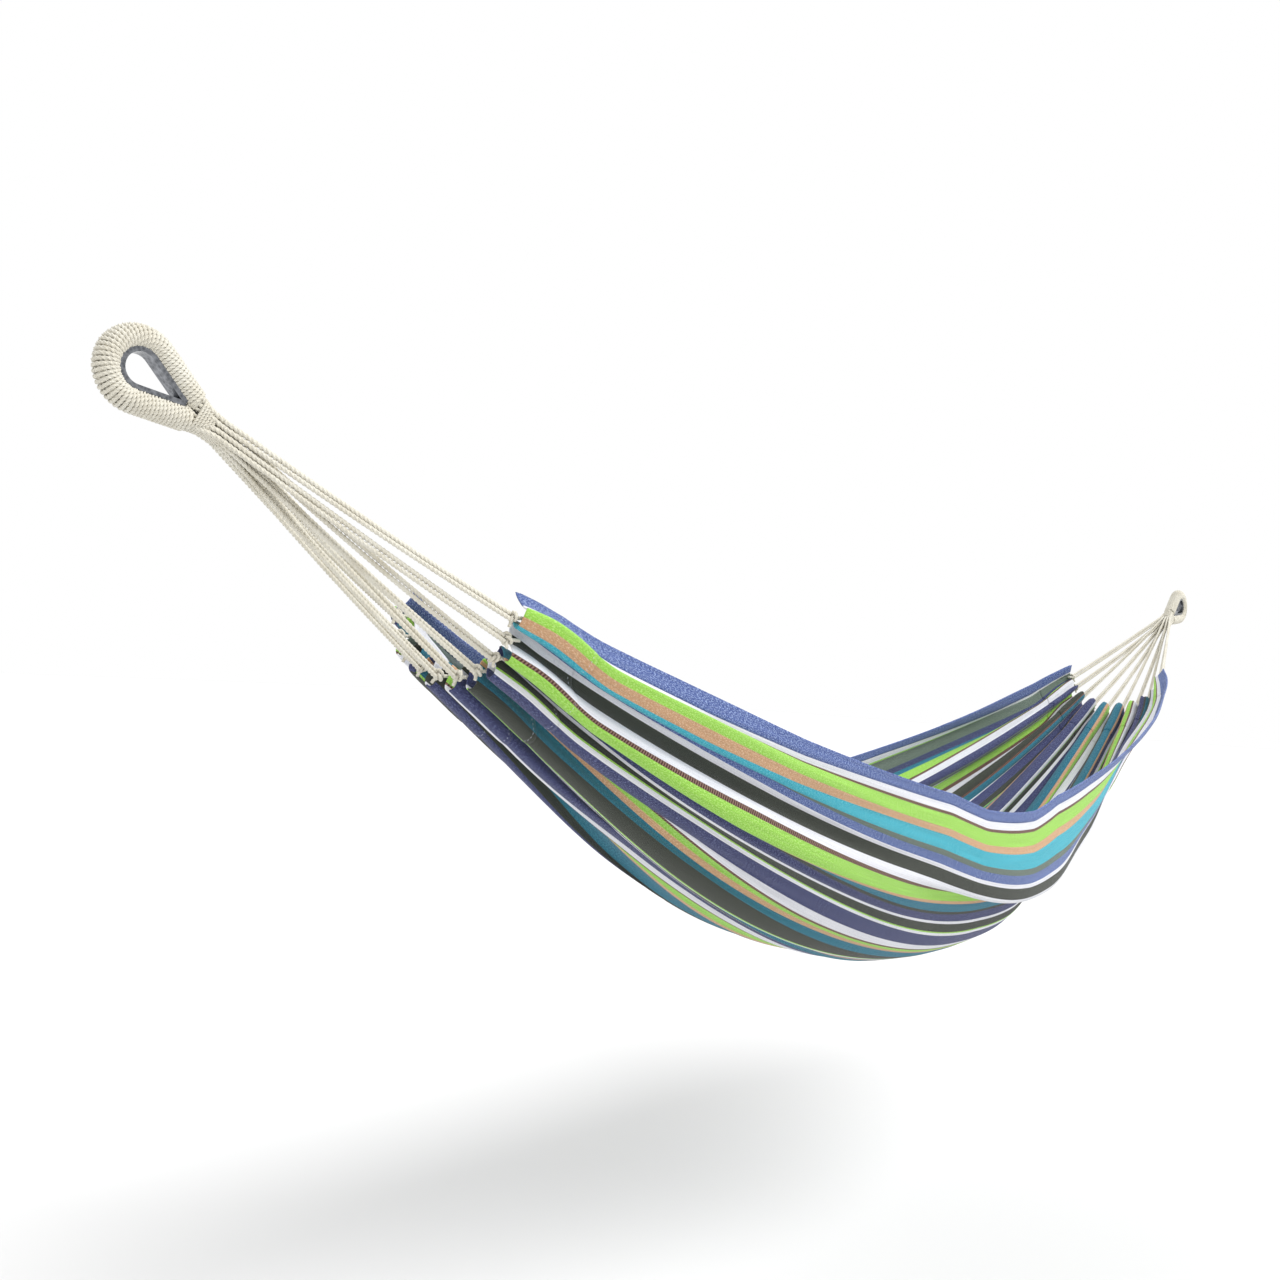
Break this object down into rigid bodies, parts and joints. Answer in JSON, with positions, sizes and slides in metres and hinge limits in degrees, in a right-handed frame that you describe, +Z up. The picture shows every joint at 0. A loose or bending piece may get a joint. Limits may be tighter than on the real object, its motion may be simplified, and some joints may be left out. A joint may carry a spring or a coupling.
{
  "type": "gathered-end cloth hammock",
  "caption": "Brazilian-style hammock: striped woven cloth gathered at both ends on fanned cotton cords that run to rope-wrapped eyes with steel thimbles.",
  "frame": {"origin": "middle of the left thimble's crown, where its hook sits", "axes": "+X towards the right eye, +Z up, -Y towards the near side of the bed; the bed hangs level between two hooks of equal height"},
  "size_m": [2.7832, 0.513, 0.7281],
  "materials": {
    "striped_cloth": "woven cotton blend in lengthwise stripes of blue, white, brown, lime, tan, turquoise, grey-green and charcoal",
    "cotton_cord": "natural cream three-strand cotton cord, matt",
    "galvanised_steel": "bright zinc-plated pressed steel"
  },
  "bodies": {
    "left_eye": {"left_thimble": "galvanised_steel", "left_eye_core": "cotton_cord", "left_eye_serving": "cotton_cord", "left_throat_binding": "cotton_cord"},
    "bed": {"bed_cloth": "striped_cloth", "left_end_hem": "striped_cloth", "right_end_hem": "striped_cloth", "near_side_hem": "striped_cloth", "far_side_hem": "striped_cloth", "left_cord_01": "cotton_cord", "left_cord_02": "cotton_cord", "left_cord_03": "cotton_cord", "left_cord_04": "cotton_cord", "left_cord_05": "cotton_cord", "left_cord_06": "cotton_cord", "left_cord_07": "cotton_cord", "left_cord_08": "cotton_cord", "left_cord_09": "cotton_cord", "left_cord_10": "cotton_cord", "right_cord_01": "cotton_cord", "right_cord_02": "cotton_cord", "right_cord_03": "cotton_cord", "right_cord_04": "cotton_cord", "right_cord_05": "cotton_cord", "right_cord_06": "cotton_cord", "right_cord_07": "cotton_cord", "right_cord_08": "cotton_cord", "right_cord_09": "cotton_cord", "right_cord_10": "cotton_cord"},
    "right_eye": {"right_thimble": "galvanised_steel", "right_eye_core": "cotton_cord", "right_eye_serving": "cotton_cord", "right_throat_binding": "cotton_cord"}
  },
  "joints": [
    {"name": "bed_swing", "type": "hinge", "parent": "left_eye", "child": "bed", "pos_m": [0.08197, 0, -0.04177], "axis": [1, 0, 0], "range_deg": [-35, 35]},
    {"name": "right_eye_swing", "type": "hinge", "parent": "bed", "child": "right_eye", "pos_m": [2.61803, 0, -0.04177], "axis": [1, 0, 0], "range_deg": [-35, 35]}
  ],
  "couplings": [
    {"joint": "right_eye_swing", "follows": "bed_swing", "ratio": -1}
  ]
}
